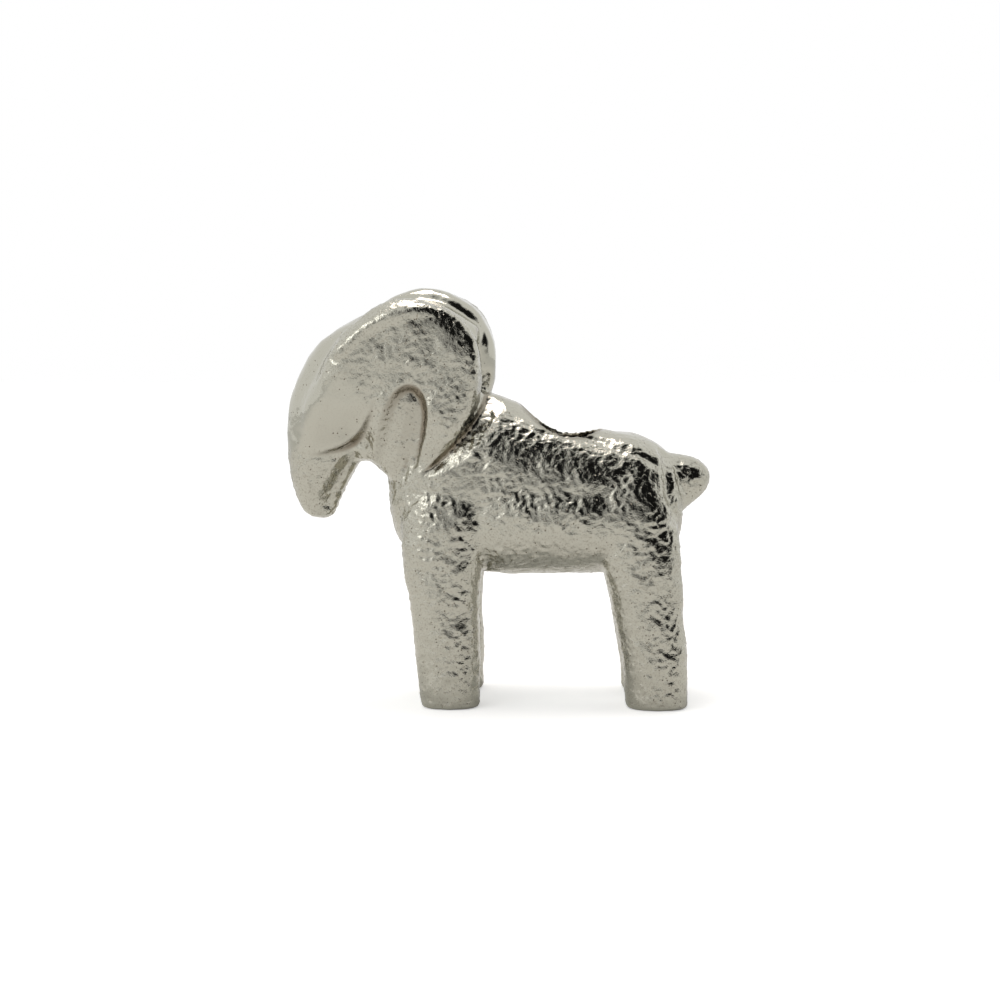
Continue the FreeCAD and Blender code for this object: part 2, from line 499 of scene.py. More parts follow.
@dataclass(frozen=True)
class Crease:
    """A groove drawn on the skin along points in the XZ plane, seen from the side.

    lift says how many widths each end of the line stands off the skin, which lets the groove run out
    softly. start_away is how far out the line is projected from.
    """

    name: str
    path: tuple[Point, ...]
    width: float
    depth: float
    sides: tuple[Side, ...] = (Side.LEFT, Side.RIGHT)
    shift_right: Point = (0, 0)
    lift: float = 0.8
    start_away: float = 60

    def lines(self, skin: bpy.types.Object) -> list[list[Vector]]:
        """Projects the path onto the skin from each side.

        Args:
            skin: the skin to groove.

        Returns:
            A line of places for each side, in metres.
        """
        found = []
        for side in self.sides:
            move = self.shift_right if side is Side.RIGHT else (0, 0)
            line = []
            for x, z in smooth_path(self.path):
                origin = Vector((x + move[0], side.value * self.start_away, z + move[1])) * MM
                hit, place, _, _ = skin.ray_cast(origin, Vector((0, -side.value, 0)))
                if hit and place.y * side.value > -MM:
                    line.append(place)
            for end in (0, -1):
                if line:
                    line[end] = line[end] + Vector((0, side.value * self.lift * self.width * MM, 0))
            found.append(line)
        return found

    def carve(self, skin: bpy.types.Object) -> None:
        """Sinks the groove into the skin, or raises a ridge when depth is negative.

        Args:
            skin: the skin to groove.
        """
        mesh = bpy.data.meshes.new(f"{self.name}_line")
        verts, edges = [], []
        for line in self.lines(skin):
            edges += [(len(verts) + i, len(verts) + i + 1) for i in range(len(line) - 1)]
            verts += line
        mesh.from_pydata(verts, edges, [])
        target = bpy.data.objects.new(mesh.name, mesh)
        bpy.context.collection.objects.link(target)
        group = skin.vertex_groups.new(name=self.name)
        group.add(range(len(skin.data.vertices)), 1.0, "REPLACE")
        apply_modifier(
            skin, "VERTEX_WEIGHT_PROXIMITY", vertex_group=group.name, target=target,
            proximity_mode="GEOMETRY", proximity_geometry={"EDGE"}, min_dist=self.width * MM,
            max_dist=0, falloff_type="SMOOTH",
        )
        apply_through_group(skin, self.name, "DISPLACE", strength=-self.depth * MM, mid_level=0)
        remove(target)


EAR_LINE = (
    (-32.0, 75.0), (-31.1, 78.2), (-29.5, 81.6), (-27.1, 84.9), (-23.8, 86.6), (-20.6, 85.6), (-18.6, 82.2),
    (-18.1, 78.0), (-18.9, 73.3), (-19.8, 69.3),
)
HORN_BACK_LINE = (
    (-4.4, 90.0), (-3.9, 85.9), (-5.2, 80.6), (-8.2, 75.3), (-12.0, 71.0), (-16.4, 67.0), (-19.0, 64.4),
)
BROW_LINE = (
    (-51.0, 67.6), (-47.7, 68.2), (-42.4, 70.0), (-39.1, 72.1), (-36.9, 74.3), (-35.2, 77.1), (-33.7, 80.0),
    (-33.8, 82.1),
)
MOUTH_LINE = ((-39.2, 66.6), (-40.9, 64.4), (-43.2, 60.4), (-45.2, 56.4), (-46.5, 53.4))
CREASES = (
    Crease("mouth", MOUTH_LINE, width=3.7, depth=1.15),
    Crease(
        "neck_nick", ((-24.7, 66.2), (-24.9, 64.0), (-25.4, 61.4)), width=1.5, depth=0.4, sides=(Side.LEFT,)
    ),
    Crease(
        "rump_fold", ((22.0, 72.4), (27.0, 71.0), (32.6, 68.8), (37.5, 67.4), (42.0, 65.0)),
        width=2.4, depth=0.5, sides=(Side.LEFT,),
    ),
    Crease("tail_edge", ((44.6, 68.0), (45.0, 61.0), (45.8, 55.0), (47.2, 50.6)), width=3.2, depth=1.0),
    Crease(
        "horn_crest",
        (
            (-42.0, 94.6), (-35.2, 100.4), (-25.9, 104.8), (-15.0, 105.2), (-8.6, 100.2), (-6.4, 93.0),
            (-6.6, 85.0),
        ),
        width=3.0, depth=-0.7, shift_right=RIGHT_HORN_MOVE, lift=0.9,
    ),
)


@dataclass(frozen=True)
class Step:
    """An edge where one mass stands proud of the next, drawn along points in the XZ plane.

    The skin is sunk on the right of the path, seen from the animal's left side. depth and slope hold the
    drop and the width of the sloping face at the path's start, middle and end, and shadow says how dark
    the painted shadow on that face is there, with floor for the painted shade on the ground beyond it.
    The sunk part comes back to level over reach, and below level_below.
    """

    name: str
    path: tuple[Point, ...]
    depth: tuple[float, float, float]
    slope: tuple[float, float, float]
    shadow: tuple[float, float, float]
    reach: float = 60.0
    level_below: Point = (-20, -10)
    floor: float = 0.0
    shift_right: Point = RIGHT_HORN_MOVE

    def measure(self, places: np.ndarray) -> tuple[np.ndarray, np.ndarray]:
        """Measures places against the edge.

        Args:
            places: places on the skin in millimetres, one row each.

        Returns:
            For each place its signed distance from the path as a share of the slope's width, and how far
            along the path it is, from 0 to 1.
        """
        right = (places[:, 1] > 0)[:, None]
        flat = places[:, [0, 2]] - right * np.array(self.shift_right)
        path = smooth_path(self.path)[::2]
        nearest = np.full(len(flat), np.inf)
        signed, along = np.zeros(len(flat)), np.zeros(len(flat))
        last = len(path) - 2
        for i, (start, end) in enumerate(zip(path, path[1:])):
            run = end - start
            reached = (flat - start) @ run / (run @ run)
            # The path's first and last run go on far past its ends.
            reached = np.clip(reached, -50 if i == 0 else 0, 50 if i == last else 1)
            away = flat - start - reached[:, None] * run
            distance = np.linalg.norm(away, axis=1)
            closer = distance < nearest
            nearest[closer] = distance[closer]
            signed[closer] = (distance * np.sign(away[:, 0] * run[1] - away[:, 1] * run[0]))[closer]
            along[closer] = ((i + np.clip(reached, 0, 1)) / (last + 1))[closer]
        return signed / np.interp(along, (0, 0.5, 1), self.slope), along

    def weigh(self, places: np.ndarray, normals: np.ndarray) -> np.ndarray:
        """Works out how far the skin is sunk.

        Args:
            places: places on the skin in millimetres, one row each.
            normals: the skin's normals there.

        Returns:
            The drop at each place in millimetres.
        """
        away, along = self.measure(places)
        depth = np.interp(along, (0, 0.5, 1), self.depth) * ease(places[:, 2], *self.level_below)
        share = ease(away, 0, 1) * (1 - ease(away * max(self.slope) / self.reach, 0.1, 1))
        return depth * share * ease(np.abs(normals[:, 1]), 0.25, 0.6)

    def shade(self, places: np.ndarray) -> np.ndarray:
        """Works out the painted shadow on the sloping face at the edge, and with floor the painted shade
        beyond it.

        Args:
            places: places on the skin in millimetres, one row each.

        Returns:
            0 to 1 at each place.
        """
        away, along = self.measure(places)
        face = ease(away, 0, 0.25) * np.maximum(ease(-away, -1.25, -0.8), self.floor)
        return face * np.interp(along, (0, 0.5, 1), self.shadow) * ease(places[:, 2], *self.level_below)

    def sink(self, skin: bpy.types.Object) -> None:
        """Sinks the skin beside the edge.

        Args:
            skin: the skin.
        """
        deepest = max(self.depth)
        paint_group(skin, self.name, lambda places, normals: self.weigh(places, normals) / deepest)
        apply_through_group(skin, self.name, "DISPLACE", strength=-deepest * MM, mid_level=0)


# Each step also paints shadow on its sloping face, through shade().
STEPS = (
    Step(
        "ear_arch", EAR_LINE, depth=(2.0, 2.2, 2.0), slope=(3.4, 2.6, 1.5), shadow=(0.1, 1.0, 0.9),
        level_below=(60, 74), floor=0.22,
    ),
    Step(
        "horn_back", HORN_BACK_LINE[::-1], depth=(1.6, 1.4, 1.0), slope=(1.4, 1.5, 1.8),
        shadow=(1.0, 0.9, 0.6), reach=8.0, level_below=(61.5, 65.5),
    ),
    Step(
        "brow_edge", BROW_LINE, depth=(0.0, 2.3, 0.0), slope=(0.8, 2.5, 0.8), shadow=(0.0, 1.0, 0.0),
        reach=10.0,
    ),
)


# ---------------------------------------------------------------------------------------------------
# The sand's grain


@dataclass(frozen=True)
class Grain:
    """One size of roughness that the sand mould leaves on the skin.

    size is the width of its lumps and height their full height, both in millimetres. weigh says how much
    of it is left at each place.
    """

    name: str
    texture: str
    size: float
    height: float
    weigh: Weigh
    settings: tuple[tuple[str, object], ...] = ()

    def press(self, skin: bpy.types.Object) -> None:
        """Presses the grain into the skin, along its normals.

        Args:
            skin: the skin.
        """
        texture = bpy.data.textures.new(self.name, self.texture)
        texture.noise_scale = self.size * MM
        for name, value in self.settings:
            setattr(texture, name, value)
        paint_group(skin, self.name, self.weigh)
        apply_through_group(
            skin, self.name, "DISPLACE", texture=texture, texture_coords="LOCAL",
            strength=self.height * MM, mid_level=0.5,
        )


def outside_socket(places: np.ndarray) -> np.ndarray:
    """Tells the outside of the casting from the socket's bored wall and floor.

    Args:
        places: places on the skin in millimetres, one row each.

    Returns:
        1 on the outside, 0 in the socket.
    """
    away = np.hypot(places[:, 0] - SOCKET.x, places[:, 1]) - SOCKET.radius
    return np.maximum(ease(away, 0.2, 1.4), ease(-places[:, 2], -SOCKET.seat, 2 - SOCKET.seat))


def sandiness(places: np.ndarray, normals: np.ndarray | None = None) -> np.ndarray:
    """Works out how much of the sand's grain is left after fettling.

    The brow, the crown between the horns, the top of the back and the soles were rubbed smooth.

    Args:
        places: places on the skin in millimetres, one row each.
        normals: the skin's normals there, which make no difference.

    Returns:
        1 on flanks and legs, low where the casting is rubbed.
    """
    x, y, z = places.T
    brow = ease(-x, 30, 40) * ease(z, 65, 70) * ease(-z, -92, -83)
    crown = ease(z, 84, 92) * ease(np.abs(y), 15.5, 11.5)
    rise = (z - 57) / np.hypot(y, z - 57)
    back = ease(rise, 0.72, 0.92) * ease(x, -6, 2) * ease(z, 62, 68)
    soles = ease(z, 1.2, 0.2)
    rubbed = np.clip(0.85 * brow + 0.8 * crown + 0.7 * back + soles, 0, 1)
    return (1 - 0.93 * rubbed) * outside_socket(places)


def face_side(places: np.ndarray, normals: np.ndarray) -> np.ndarray:
    """Finds the sides of the face and the ears, which run from brow to horn with no edge between.

    Args:
        places: places on the skin in millimetres, one row each.
        normals: the skin's normals there, which make no difference.

    Returns:
        0 to 1 at each place.
    """
    x, y, z = places.T
    brow = ease(-x, 27, 33) * ease(-z, -101, -95)
    ear = ease(-x, 16, 20) * ease(-z, -94, -88)
    return np.maximum(brow, ear) * ease(z, 63, 67) * ease(np.abs(y), 3.5, 8.5)


def lumpiness(places: np.ndarray, normals: np.ndarray) -> np.ndarray:
    """Finds where the hand-made form is uneven: everywhere but in the socket and on the soles.

    Args:
        places: places on the skin in millimetres, one row each.
        normals: the skin's normals there, which make no difference.

    Returns:
        0 to 1 at each place.
    """
    return outside_socket(places) * ease(places[:, 2], 0.2, 4.0)


def patchiness(places: np.ndarray, normals: np.ndarray) -> np.ndarray:
    """Finds where the metal ran unevenly over the sand: patches about a centimetre wide.

    The legs and the horns are calmer.

    Args:
        places: places on the skin in millimetres, one row each.
        normals: the skin's normals there, which make no difference.

    Returns:
        0 to 1 at each place.
    """
    patches = np.array([noise.noise(Vector(place) / 8 + Vector((3.1, 0.4, 7.7))) for place in places])
    patch = 0.5 + 0.5 * ease(patches, -0.35, 0.3)
    calmer = (1 - 0.2 * ease(-places[:, 2], -40, -30)) * (1 - 0.3 * ease(places[:, 2], 84, 90))
    return sandiness(places) * patch * calmer


@dataclass(frozen=True)
class Socket:
    """The candle socket bored in the back, in millimetres.

    x is its axis and seat the height of its floor; mouth is where the drill starts, above the back.
    """

    x: float = 16.5
    radius: float = 11.25
    seat: float = 52.0
    mouth: float = 95.0

    def bore(self, skin: bpy.types.Object) -> None:
        """Bores the flat-bottomed hole into the skin.

        Args:
            skin: the skin.
        """
        height = self.mouth - self.seat
        bpy.ops.object.select_all(action="DESELECT")
        bpy.ops.mesh.primitive_cylinder_add(
            vertices=160, radius=self.radius * MM, depth=height * MM,
            location=Vector((self.x, 0, self.seat + height / 2)) * MM,
        )
        drill = bpy.context.view_layer.objects.active
        settle(drill)
        cut(skin, drill, Cut.TAKE_AWAY)
        remove(drill)


SOCKET = Socket()
GRAINS = (
    Grain("hand_lumps", "CLOUDS", 10.0, 0.9, lumpiness, (("noise_depth", 1),)),
    Grain("sand_lumps", "CLOUDS", 3.0, 0.6, patchiness, (("noise_depth", 3), ("noise_type", "SOFT_NOISE"))),
    Grain("molten_skin", "STUCCI", 1.3, 0.42, patchiness, (("turbulence", 8.0),)),
    Grain("sand_grit", "CLOUDS", 0.7, 0.2, sandiness, (("noise_depth", 1), ("noise_type", "HARD_NOISE"))),
)


# ---------------------------------------------------------------------------------------------------
# The named castings


@dataclass(frozen=True)
class Region:
    """A prism along Y that takes one casting out of the skin.

    outline is its closed outline in the XZ plane and depth its reach along Y on the right side.
    """

    outline: tuple[Point, ...]
    depth: Point

    def draw(self, side: Side = Side.RIGHT, shift: Point = (0, 0)) -> bpy.types.Object:
        """Draws the prism as a closed solid.

        Args:
            side: the side of the animal that it stands on.
            shift: a move along X and Z.

        Returns:
            The cutter.
        """
        start, end = (side.value * reach for reach in self.depth)
        corners = [Vector((x + shift[0], start, z + shift[1])) * MM for x, z in self.outline]
        mesh = bpy.data.meshes.new("cutter")
        mesh.from_pydata(corners, [], [range(len(corners))])
        cutter = bpy.data.objects.new("cutter", mesh)
        bpy.context.collection.objects.link(cutter)
        select_only(cutter)
        bpy.ops.object.mode_set(mode="EDIT")
        bpy.ops.mesh.select_all(action="SELECT")
        bpy.ops.mesh.extrude_region_move(TRANSFORM_OT_translate={"value": (0, (end - start) * MM, 0)})
        bpy.ops.mesh.select_all(action="SELECT")
        bpy.ops.mesh.normals_make_consistent(inside=False)
        bpy.ops.object.mode_set(mode="OBJECT")
        return cutter


LEG_CUT = 31.0
FRONT_LEG_REGION = Region(((-32, -3), (5, -3), (5, LEG_CUT), (-32, LEG_CUT)), (0, 26))
HIND_LEG_REGION = Region(((20, -3), (60, -3), (60, LEG_CUT), (20, LEG_CUT)), (0, 26))
TAIL_REGION = Region(
    ((44.2, 75), (44.6, 68), (45.0, 61), (45.8, 55), (47.2, 50.6), (49.0, 48), (66, 46), (66, 75)),
    (-8.6, 8.6),
)
HEAD_REGION = Region(
    (
        (-38, 62.2), (-31, 63.2), (-24, 63.4), *HORN_BACK_LINE[::-1],
        (8, 93), (8, 122), (-66, 122), (-66, 44), (-38, 44),
    ),
    (-26, 26),
)
JAW_REGION = Region((*MOUTH_LINE, (-47.8, 48.6), (-38.0, 48.6), (-37.0, 58.0), (-37.2, 64.6)), (-14, 14))
EAR_REGION = Region((*EAR_LINE, (-20.6, 66.6), (-24.0, 65.4), (-29.0, 66.4), (-32.4, 70.4)), (9, 26))
HORN_REGION = Region(
    (
        (-50.6, 67.6), *BROW_LINE[1:], (-31.4, 80.4), *EAR_LINE[2:], (-20.4, 66.2), *HORN_BACK_LINE[::-1],
        (1.0, 91.0), (6.0, 100.0), (2.0, 122.0), (-45.0, 122.0), (-43.4, 98.6), (-46.8, 92.0), (-49.6, 86.0),
        (-51.2, 80.0), (-51.4, 74.0),
    ),
    (5.4, 26),
)


@dataclass
class Skin:
    """The whole casting in one skin, before it is divided.

    The voxels are the sizes of its faces in millimetres, before and after the socket is bored. The blends
    are the rounds of smoothing: on the fused forms, on the bored skin and on the sides of the face.
    """

    form_voxel: float = 0.6
    skin_voxel: float = 0.4
    blend: int = 14
    skin_blend: int = 3
    face_blend: int = 120

    def build(self) -> bpy.types.Object:
        """Draws the forms, fuses, bores, carves and roughens them.

        Returns:
            The closed skin, shaded smooth.
        """
        forms = [form.draw() for form in (TORSO, BELLY, SKULL, FOREHEAD, CHEEK, JAW, TAIL)]
        for side in Side:
            shift = RIGHT_HORN_MOVE if side is Side.RIGHT else (0, 0)
            forms += [form.draw(side) for form in (FRONT_LEG, HIND_LEG)]
            forms += [form.draw(side, shift) for form in (EAR, HORN)]
        scale = 1.0
        skin = fuse(forms, "skin", self.form_voxel * scale)
        apply_modifier(skin, "SMOOTH", iterations=self.blend, factor=0.5)
        SOCKET.bore(skin)
        skin = fuse([skin], "skin", self.skin_voxel * scale)
        apply_modifier(skin, "SMOOTH", iterations=self.skin_blend, factor=0.5)
        paint_group(skin, "face", face_side)
        apply_through_group(skin, "face", "SMOOTH", iterations=self.face_blend, factor=0.5)
        for step in STEPS:
            step.sink(skin)
        for crease in CREASES:
            crease.carve(skin)
        for grain in GRAINS:
            grain.press(skin)
        select_only(skin)
        bpy.ops.object.shade_smooth()
        log.info("skin: %d vertices", len(skin.data.vertices))
        return skin


@dataclass
class Casting:
    """The castings that the skin is divided into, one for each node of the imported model."""

    skin: bpy.types.Object

    def take(self, source: bpy.types.Object, name: str, cutter: bpy.types.Object) -> bpy.types.Object:
        """Takes what lies inside a cutter out of a solid.

        Args:
            source: the solid, which keeps the rest.
            name: the node that the new piece stands for.
            cutter: the closed cutter, deleted after use.

        Returns:
            The piece.
        """
        piece = duplicate(source, f"cast_{name}")
        cut(piece, cutter, Cut.KEEP_INSIDE)
        cut(source, cutter, Cut.TAKE_AWAY)
        remove(cutter)
        return piece

    def divide(self) -> dict[str, bpy.types.Object]:
        """Divides the skin.

        Returns:
            The pieces by node name.
        """
        rest = duplicate(self.skin, "cast_trunk")
        pieces = {}
        for side in Side:
            for place, region in (("front", FRONT_LEG_REGION), ("hind", HIND_LEG_REGION)):
                name = f"leg_{place}_{side.name.lower()}"
                pieces[name] = self.take(rest, name, region.draw(side))
        pieces["tail"] = self.take(rest, "tail", TAIL_REGION.draw())
        head = self.take(rest, "head", HEAD_REGION.draw())
        pieces["lower_jaw"] = self.take(head, "lower_jaw", JAW_REGION.draw())
        for side in Side:
            shift = RIGHT_HORN_MOVE if side is Side.RIGHT else (0, 0)
            ear, horn = f"ear_{side.name.lower()}", f"horn_{side.name.lower()}"
            pieces[ear] = self.take(head, ear, EAR_REGION.draw(side, shift))
            pieces[horn] = self.take(head, horn, HORN_REGION.draw(side, shift))
        pieces["head"] = head
        pieces["trunk"] = rest
        return pieces

    def keep_light_unbroken(self, piece: bpy.types.Object) -> None:
        """Gives a piece the undivided skin's normals, so that no seam shows in the reflections.

        Args:
            piece: the casting.
        """
        select_only(piece)
        bpy.ops.object.shade_smooth_by_angle(angle=math.radians(40), keep_sharp_edges=False)
        apply_modifier(
            piece, "DATA_TRANSFER", object=self.skin, use_loop_data=True,
            data_types_loops={"CUSTOM_NORMAL"}, loop_mapping="POLYINTERP_NEAREST",
        )


# ---------------------------------------------------------------------------------------------------
# The finish


def linear(colour: str) -> tuple[float, float, float, float]:
    """Turns an sRGB hex colour to linear light.

    Args:
        colour: such as "#C0C0C0".

    Returns:
        Red, green, blue and alpha.
    """
    parts = [int(colour[i : i + 2], 16) / 255 for i in (1, 3, 5)]
    return (*[c / 12.92 if c <= 0.04045 else ((c + 0.055) / 1.055) ** 2.4 for c in parts], 1.0)


def add_node(
    tree: bpy.types.NodeTree,
    kind: str,
    links: dict[str | int, bpy.types.NodeSocket | float | tuple | str] | None = None,
    **settings: object,
) -> bpy.types.Node:
    """Adds a node.

    Args:
        tree: the node tree.
        kind: the node's type.
        links: what feeds each input: another node's output, or a plain value.
        settings: the node's properties.

    Returns:
        The node.
    """
    node = tree.nodes.new(kind)
    for name, value in settings.items():
        setattr(node, name, value)
    for name, source in (links or {}).items():
        if isinstance(source, bpy.types.NodeSocket):
            tree.links.new(source, node.inputs[name])
        else:
            node.inputs[name].default_value = source
    return node


class Hollows:
    """Where the skin lies below its surroundings, within about two millimetres: these hollows get painted
    shade, mixed with a brownish antique patina.
    """

    def __init__(self, skin: bpy.types.Object, rounds: int = 45, low: float = 0.1, high: float = 0.6) -> None:
        """Measures the skin against a smoothed copy of itself.

        Args:
            skin: the undivided skin.
            rounds: how often the copy is smoothed.
            low: the drop in millimetres where the painted shade and patina start.
            high: the drop where they are full.
        """
        places, normals = surface_of(skin)
        smooth = duplicate(skin, "smooth_copy")
        apply_modifier(smooth, "SMOOTH", iterations=rounds, factor=0.5)
        drops = np.einsum("ij,ij->i", surface_of(smooth)[0] - places, normals)
        remove(smooth)
        # These values paint shade, mixed with antique patina, into the hollows.
        self.values = ease(drops, low, high) * outside_socket(places)
        self.tree = kdtree.KDTree(len(places))
        for index, place in enumerate(places):
            self.tree.insert(place, index)
        self.tree.balance()

    def look_up(self, places: np.ndarray) -> np.ndarray:
        """Looks hollows up at the skin's nearest vertex.

        Args:
            places: places in millimetres, one row each.

        Returns:
            0 to 1 at each place.
        """
        return self.values[[self.tree.find(place)[1] for place in places]]


@dataclass(frozen=True)
class NickelPlate:
    """Bright nickel plate on a sand casting.

    Electroplated nickel is a warm silver, slightly yellower than chrome. It follows the casting's grain,
    so the finest sand shows as a sparkle. Small gas pits get painted shade, and the recesses get painted
    shade mixed with a brownish antique patina.
    polished and cast are the roughness on rubbed and on untouched spots; sizes are in millimetres.
    """

    plate: str = "#C2C0B3"
    # Painted shade mixed with brownish antique patina, for hollows, step faces, pits and the socket.
    shade_and_patina: str = "#7D7262"
    polished: float = 0.1
    cast: float = 0.09
    grit_size: float = 0.45
    grit_height: float = 0.09
    pit_spacing: float = 1.25
    pit_depth: float = 0.12
    cluster_size: float = 7.0

    def make(self) -> bpy.types.Material:
        """Builds the material.

        Returns:
            The material, which reads each piece's own attributes: how sandy it is, and its painted shade
            mixed with patina.
        """
        material = bpy.data.materials.new("nickel_plate_on_sand_casting")
        material.use_nodes = True
        tree = material.node_tree
        tree.nodes.clear()
        place = add_node(tree, "ShaderNodeTexCoord").outputs["Object"]
        sand = add_node(tree, "ShaderNodeAttribute", attribute_name="sand").outputs["Fac"]

        # Grit: grains of moulding sand, about half a millimetre.
        grit = add_node(
            tree, "ShaderNodeTexNoise",
            {"Vector": place, "Scale": 1 / (self.grit_size * MM), "Detail": 2.0, "Roughness": 0.6},
        ).outputs["Fac"]
        sandy_grit = add_node(tree, "ShaderNodeMath", {0: grit, 1: sand}, operation="MULTIPLY").outputs[0]
        # Gas pits: half a millimetre across at most, in loose clusters.
        cells = add_node(
            tree, "ShaderNodeTexVoronoi",
            {"Vector": place, "Scale": 1 / (self.pit_spacing * MM), "Randomness": 1.0},
        )
        pit = add_node(
            tree, "ShaderNodeMapRange",
            {
                "Value": cells.outputs["Distance"], "From Min": 0.06, "From Max": 0.21, "To Min": 1.0,
                "To Max": 0.0,
            },
            interpolation_type="SMOOTHSTEP",
        ).outputs[0]
        clusters = add_node(
            tree, "ShaderNodeTexNoise",
            {"Vector": place, "Scale": 1 / (self.cluster_size * MM), "Detail": 1.0},
        ).outputs["Fac"]
        luck = add_node(
            tree, "ShaderNodeMath", {0: cells.outputs["Color"], 1: clusters}, operation="ADD"
        ).outputs[0]
        chance = add_node(tree, "ShaderNodeMath", {0: luck, 1: 1.12}, operation="GREATER_THAN").outputs[0]
        pit = add_node(tree, "ShaderNodeMath", {0: pit, 1: chance}, operation="MULTIPLY").outputs[0]

        bump = add_node(
            tree, "ShaderNodeBump", {"Strength": 1.0, "Distance": self.grit_height * MM, "Height": sandy_grit}
        ).outputs[0]
        bump = add_node(
            tree, "ShaderNodeBump",
            {"Strength": 1.0, "Distance": self.pit_depth * MM, "Height": pit, "Normal": bump}, invert=True,
        ).outputs[0]

        # Recesses get painted shade, mixed with a brownish antique patina: the hollows, the steps' shaded
        # faces and the socket's inside.
        shade_patina_fac = add_node(tree, "ShaderNodeAttribute", attribute_name="shade_and_patina").outputs["Fac"]
        shade_patina_grime = add_node(tree, "ShaderNodeMath", {0: shade_patina_fac, 1: 0.9}, operation="MULTIPLY").outputs[0]
        # Painted shade: the gas pits take the dark brownish colour too.
        shade_patina_grime = add_node(tree, "ShaderNodeMath", {0: shade_patina_grime, 1: pit}, operation="MAXIMUM").outputs[0]
        # Specks of old polish that stay in the grain, wherever the sand is left, are darker and brownish too.
        grime = add_node(
            tree, "ShaderNodeMapRange",
            {"Value": grit, "From Min": 0.52, "From Max": 0.7, "To Min": 0.0, "To Max": 0.55},
        ).outputs[0]
        grime = add_node(tree, "ShaderNodeMath", {0: grime, 1: sand}, operation="MULTIPLY").outputs[0]
        shade_patina_grime = add_node(tree, "ShaderNodeMath", {0: shade_patina_grime, 1: grime}, operation="MAXIMUM").outputs[0]
        colour = add_node(
            tree, "ShaderNodeMix", {0: shade_patina_grime, 6: linear(self.plate), 7: linear(self.shade_and_patina)}, data_type="RGBA"
        ).outputs[2]
        roughness = add_node(
            tree, "ShaderNodeMapRange",
            {"Value": sand, "From Min": 0.0, "From Max": 1.0, "To Min": self.polished, "To Max": self.cast},
        ).outputs[0]
        shader = add_node(
            tree, "ShaderNodeBsdfPrincipled",
            {"Base Color": colour, "Metallic": 1.0, "Roughness": roughness, "Normal": bump},
        ).outputs[0]
        add_node(tree, "ShaderNodeOutputMaterial", {"Surface": shader})
        return material

    def dress(self, piece: bpy.types.Object, material: bpy.types.Material, hollows: "Hollows") -> None:
        """Gives a piece the plate and the attributes that tell it how sandy each spot is and how much painted
        shade and patina it gets.

        Args:
            piece: the casting.
            material: what make() built.
            hollows: the hollows of the undivided skin.
        """
        places, _ = surface_of(piece)
        # Painted shadow on the steps' sloping faces.
        steps = np.max([step.shade(places) for step in STEPS], axis=0)
        # Painted shade: the socket's inside is taken half way to the dark brownish colour.
        shade_and_patina = np.max([hollows.look_up(places), steps, 0.5 * (1 - outside_socket(places))], axis=0)
        for name, values in (("sand", sandiness(places)), ("shade_and_patina", shade_and_patina)):
            attribute = piece.data.attributes.new(name, "FLOAT", "POINT")
            attribute.data.foreach_set("value", values)
        piece.data.materials.clear()
        piece.data.materials.append(material)


# ---------------------------------------------------------------------------------------------------
# The studio


@dataclass(frozen=True)
class DarkPatch:
    """A round dark patch in the tent, where its opening shows the room.

    azimuth runs from the front towards the animal's tail and elevation upwards, in degrees. The patch is
    fully dark within inner degrees and gone beyond outer. depth is how dark it is, from 0 to 1.
    """

    azimuth: float
    elevation: float
    inner: float
    outer: float
    depth: float

    def direction(self) -> Point3:
        """Works out where the patch is.

        Returns:
            The direction towards its middle, of length 1.
        """
        azimuth, elevation = math.radians(self.azimuth), math.radians(self.elevation)
        level = math.cos(elevation)
        return math.sin(azimuth) * level, -math.cos(azimuth) * level, math.sin(elevation)


@dataclass(frozen=True)
class Softbox:
    """A square area light, with places and sizes in millimetres and its power in watts."""

    name: str
    place: Point3
    size: float
    power: float
    colour: str
    aim: Point3 = (0, 0, 60)

    def hang(self) -> None:
        """Hangs the light."""
        data = bpy.data.lights.new(self.name, "AREA")
        data.size = self.size * MM
        data.energy = self.power
        data.color = linear(self.colour)[:3]
        lamp = bpy.data.objects.new(self.name, data)
        bpy.context.collection.objects.link(lamp)
        lamp.location = Vector(self.place) * MM
        lamp.rotation_euler = (Vector(self.aim) - Vector(self.place)).to_track_quat("-Z", "Y").to_euler()


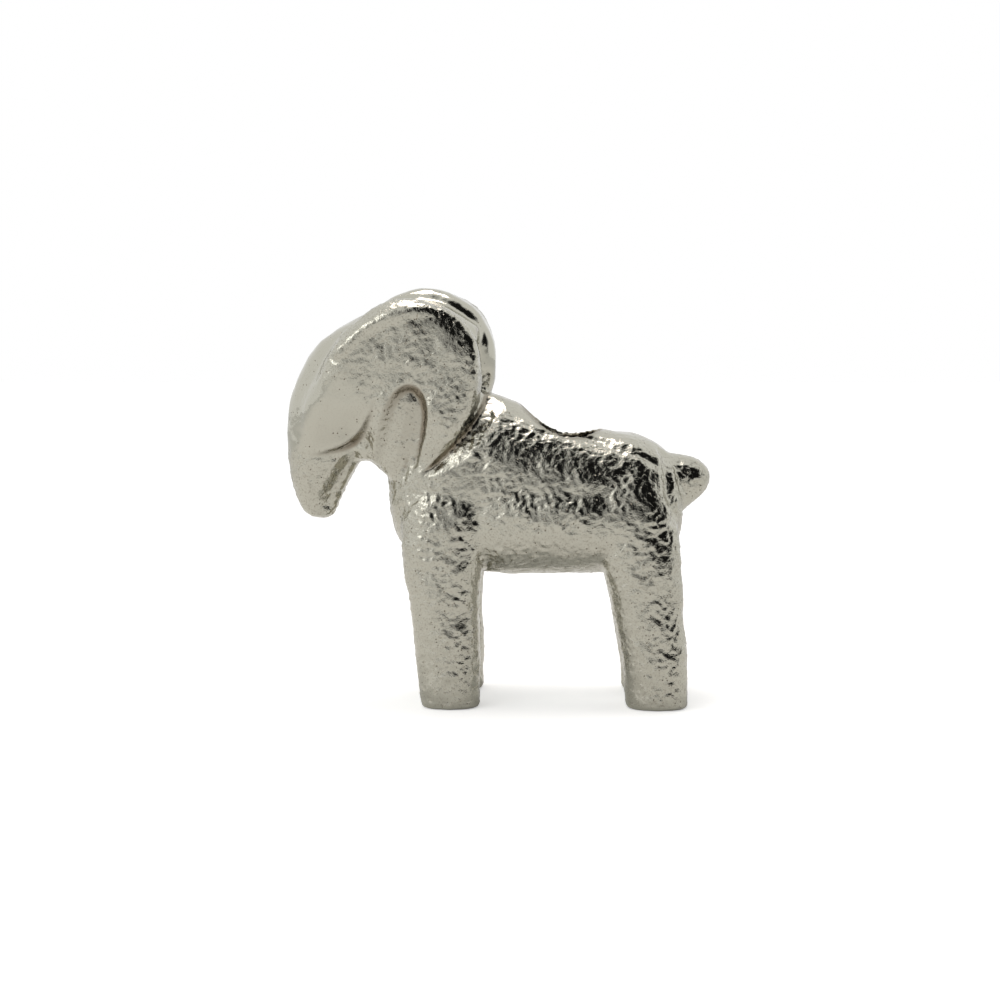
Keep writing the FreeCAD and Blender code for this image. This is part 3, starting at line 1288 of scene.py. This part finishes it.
@dataclass(frozen=True)
class Studio:
    """A light tent with an open front, a pale floor and the camera."""

    eye: Point3 = (13, -450, 96)
    target: Point3 = (0, 0, 54.3)
    lens: float = 59.6
    white: str = "#FFFFFF"
    floor_colour: str = "#F4F4F2"
    floor_half: float = 4000.0
    floor_glow: float = 0.45
    brightest: float = 0.9
    darkest: float = 0.01
    dark_patches: tuple[DarkPatch, ...] = (
        DarkPatch(azimuth=42, elevation=30, inner=30, outer=44, depth=1.0),
        DarkPatch(azimuth=4, elevation=14, inner=12, outer=34, depth=0.55),
    )
    softboxes: tuple[Softbox, ...] = (
        Softbox("overhead", (-40, 60, 620), size=260, power=0.9, colour="#FFF3F0"),
        Softbox("front_left", (-420, -420, 420), size=220, power=0.3, colour="#FFFFFF"),
    )

    def lay_floor(self) -> None:
        """Lays the floor, which glows a little for the camera alone, so that it joins the backdrop."""
        bpy.ops.object.select_all(action="DESELECT")
        bpy.ops.mesh.primitive_plane_add(size=2 * self.floor_half * MM)
        floor = bpy.context.view_layer.objects.active
        floor.name = "floor"
        material = bpy.data.materials.new("pale_matt_paper")
        material.use_nodes = True
        shader = material.node_tree.nodes["Principled BSDF"]
        shader.inputs["Base Color"].default_value = linear(self.floor_colour)
        shader.inputs["Roughness"].default_value = 0.9
        shader.inputs["Specular IOR Level"].default_value = 0.1
        shader.inputs["Emission Color"].default_value = linear(self.white)
        tree = material.node_tree
        seen = add_node(tree, "ShaderNodeLightPath").outputs["Is Camera Ray"]
        glow = add_node(tree, "ShaderNodeMath", {0: seen, 1: self.floor_glow}, operation="MULTIPLY")
        tree.links.new(glow.outputs[0], shader.inputs["Emission Strength"])
        floor.data.materials.append(material)

    def place_camera(self) -> None:
        """Places the camera."""
        data = bpy.data.cameras.new("camera")
        data.lens = self.lens
        data.clip_start = 0.01
        camera = bpy.data.objects.new("camera", data)
        bpy.context.collection.objects.link(camera)
        camera.location = Vector(self.eye) * MM
        look = Vector(self.target) - Vector(self.eye)
        camera.rotation_euler = look.to_track_quat("-Z", "Y").to_euler()
        bpy.context.scene.camera = camera

    def light_tent(self) -> None:
        """White walls all round, with the dark room showing through the tent's open front."""
        world = bpy.data.worlds.new("tent")
        bpy.context.scene.world = world
        world.use_nodes = True
        tree = world.node_tree
        tree.nodes.clear()
        towards = add_node(tree, "ShaderNodeTexCoord").outputs["Generated"]
        dark = None
        for spot in self.dark_patches:
            near = add_node(
                tree, "ShaderNodeVectorMath", {0: towards, 1: spot.direction()}, operation="DOT_PRODUCT"
            ).outputs["Value"]
            patch = add_node(
                tree, "ShaderNodeMapRange",
                {
                    "Value": near, "From Min": math.cos(math.radians(spot.outer)),
                    "From Max": math.cos(math.radians(spot.inner)), "To Min": 0.0, "To Max": spot.depth,
                },
                interpolation_type="SMOOTHSTEP",
            ).outputs[0]
            dark = patch if dark is None else add_node(
                tree, "ShaderNodeMath", {0: dark, 1: patch}, operation="MAXIMUM"
            ).outputs[0]
        light = add_node(
            tree, "ShaderNodeMapRange",
            {
                "Value": dark, "From Min": 0.0, "From Max": 1.0, "To Min": self.brightest,
                "To Max": self.darkest,
            },
        ).outputs[0]
        colour = linear(self.white)
        tent = add_node(tree, "ShaderNodeBackground", {"Color": colour, "Strength": light}).outputs[0]
        backdrop = add_node(tree, "ShaderNodeBackground", {"Color": colour, "Strength": 1.0}).outputs[0]
        seen = add_node(tree, "ShaderNodeLightPath").outputs["Is Camera Ray"]
        mixed = add_node(tree, "ShaderNodeMixShader", {0: seen, 1: tent, 2: backdrop}).outputs[0]
        add_node(tree, "ShaderNodeOutputWorld", {"Surface": mixed})

    def set_up(self) -> None:
        """Sets the studio up."""
        self.lay_floor()
        self.place_camera()
        self.light_tent()
        for softbox in self.softboxes:
            softbox.hang()
        bpy.context.scene.view_settings.view_transform = "Standard"


def main() -> None:
    """Builds the studio and the goat."""
    logging.basicConfig(level=logging.INFO, format="%(name)s: %(message)s")
    Studio().set_up()
    skin = Skin().build()
    casting = Casting(skin)
    finish = NickelPlate()
    material = finish.make()
    hollows = Hollows(skin)
    for node, piece in casting.divide().items():
        casting.keep_light_unbroken(piece)
        finish.dress(piece, material, hollows)
        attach(piece, "root")
        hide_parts(node)
        log.info("%s: %d faces", piece.name, len(piece.data.polygons))
    remove(skin)


if __name__ == "__main__":
    main()
